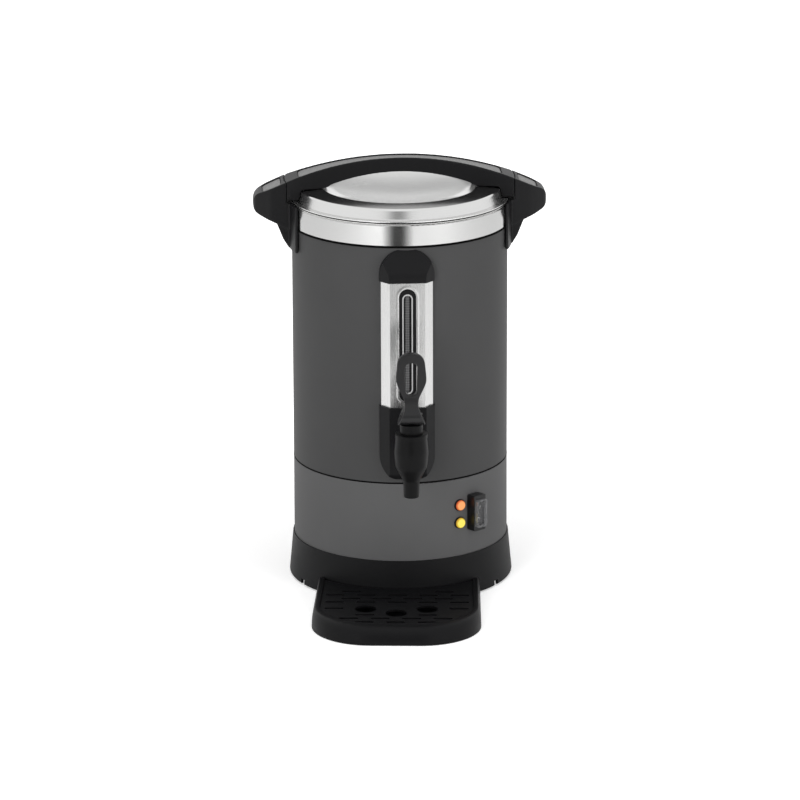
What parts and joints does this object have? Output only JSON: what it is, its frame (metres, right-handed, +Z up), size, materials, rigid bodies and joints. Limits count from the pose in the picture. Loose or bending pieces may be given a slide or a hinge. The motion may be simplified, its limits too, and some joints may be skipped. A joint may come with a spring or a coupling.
{
  "type": "filter coffee urn",
  "caption": "Electric filter coffee urn with a double wall, lever tap, level gauge, twist lid with a bar handle, side handles, switch, signal lamps and a drip tray.",
  "frame": {"origin": "on the floor that the rubber feet stand on, in the urn's vertical axis", "axes": "+Z up, -Y towards the tap and the drip tray, +X towards the side handle on the switch's side"},
  "size_m": [0.304, 0.3815, 0.4495],
  "materials": {
    "shell_paint": "satin",
    "lid_steel": "polished",
    "trim_steel": "brushed",
    "tank_steel": "satin",
    "zinc_steel": "zinc plated",
    "spring_steel": "drawn",
    "cast_aluminium": "as cast",
    "handle_plastic": "fine grain",
    "grip_plastic": "stippled",
    "tap_plastic": "satin",
    "lever_plastic": "semi-gloss",
    "tray_plastic": "satin",
    "switch_plastic": "gloss",
    "clear_cover": "clear",
    "gauge_glass": "clear",
    "lens_orange": "frosted",
    "lens_yellow": "frosted",
    "scale_plastic": "satin",
    "seal_rubber": "matt",
    "sensor_plastic": "matt",
    "terminal_plastic": "matt"
  },
  "bodies": {
    "root": {"base_ring": "handle_plastic", "bottom_plate": "tank_steel", "bottom_screws": "zinc_steel", "cable_gland": "handle_plastic", "gauge_cap": "handle_plastic", "gauge_cover": "trim_steel", "gauge_scale_plate": "scale_plastic", "gauge_seals": "seal_rubber", "gauge_tube": "gauge_glass", "gland_nut": "handle_plastic", "handle_screws": "zinc_steel", "heater_plate": "cast_aluminium", "heating_element": "zinc_steel", "inner_tank": "tank_steel", "lamp_bezels": "switch_plastic", "lamp_lens_orange": "lens_orange", "lamp_lens_yellow": "lens_yellow", "lamp_nuts": "handle_plastic", "lower_shell": "shell_paint", "rubber_feet": "seal_rubber", "sensor_strap": "zinc_steel", "side_grip_pads": "grip_plastic", "side_handle_left": "handle_plastic", "side_handle_right": "handle_plastic", "steel_collar": "trim_steel", "strap_nuts": "zinc_steel", "strap_studs": "zinc_steel", "switch_boot": "clear_cover", "switch_frame": "switch_plastic", "switch_terminals": "zinc_steel", "tap_body": "tap_plastic", "tap_bonnet": "tap_plastic", "tap_housing": "handle_plastic", "tap_locknut": "tap_plastic", "tap_nut": "tap_plastic", "tap_shank": "tap_plastic", "tap_washers": "seal_rubber", "terminal_block": "terminal_plastic", "thermal_cutout": "sensor_plastic", "thermostat": "sensor_plastic", "tie_nuts": "zinc_steel", "tie_rods": "zinc_steel", "upper_shell": "shell_paint", "valve_spring": "spring_steel"},
    "lid_carrier": {"lid_seal": "seal_rubber"},
    "lid": {"lid_pan": "lid_steel", "lid_handle": "handle_plastic", "lid_grip_pad": "grip_plastic", "lid_screws": "zinc_steel"},
    "pump": {"pump_foot": "tank_steel", "riser_tube": "tank_steel", "filter_basket": "tank_steel"},
    "basket_lid": {"basket_cover": "tank_steel"},
    "valve": {"valve_stem": "spring_steel", "seat_cup": "seal_rubber", "lever_pin": "spring_steel"},
    "lever": {"tap_lever": "lever_plastic"},
    "rocker": {"switch_rocker": "switch_plastic"},
    "tray": {"drip_tray": "tray_plastic"},
    "grille": {"drip_grille": "tray_plastic"}
  },
  "joints": [
    {"name": "lid_lift", "type": "slide", "parent": "root", "child": "lid_carrier", "axis": [0, 0, 1], "range_m": [0, 0.12]},
    {"name": "lid_twist", "type": "hinge", "parent": "lid_carrier", "child": "lid", "pos_m": [0, 0, 0.406], "axis": [0, 0, 1], "range_deg": [0, 20]},
    {"name": "pump_lift", "type": "slide", "parent": "root", "child": "pump", "axis": [0, 0, 1], "range_m": [0, 0.015]},
    {"name": "basket_cover_lift", "type": "slide", "parent": "pump", "child": "basket_lid", "axis": [0, 0, 1], "range_m": [0, 0.015]},
    {"name": "valve_lift", "type": "slide", "parent": "root", "child": "valve", "axis": [0, 0, 1], "range_m": [0, 0.0036], "deforming": ["valve_spring"]},
    {"name": "tap_lever", "type": "hinge", "parent": "valve", "child": "lever", "pos_m": [0, -0.177, 0.2225], "axis": [1, 0, 0], "range_deg": [0, 40], "stiffness_Nm_per_rad": 0.06, "springref_deg": -40.11},
    {"name": "switch_rocker", "type": "hinge", "parent": "root", "child": "rocker", "pos_m": [0.07368, -0.09262, 0.0906], "axis": [-0.7826, -0.6225, 0], "range_deg": [0, 18]},
    {"name": "tray_slide", "type": "slide", "parent": "root", "child": "tray", "axis": [-0.0872, -0.9962, 0], "range_m": [0, 0.12]},
    {"name": "grille_lift", "type": "slide", "parent": "tray", "child": "grille", "axis": [0, 0, 1], "range_m": [0, 0.04]}
  ],
  "couplings": [
    {"joint": "valve_lift", "follows": "tap_lever", "m_per_rad": 0.0050134}
  ]
}
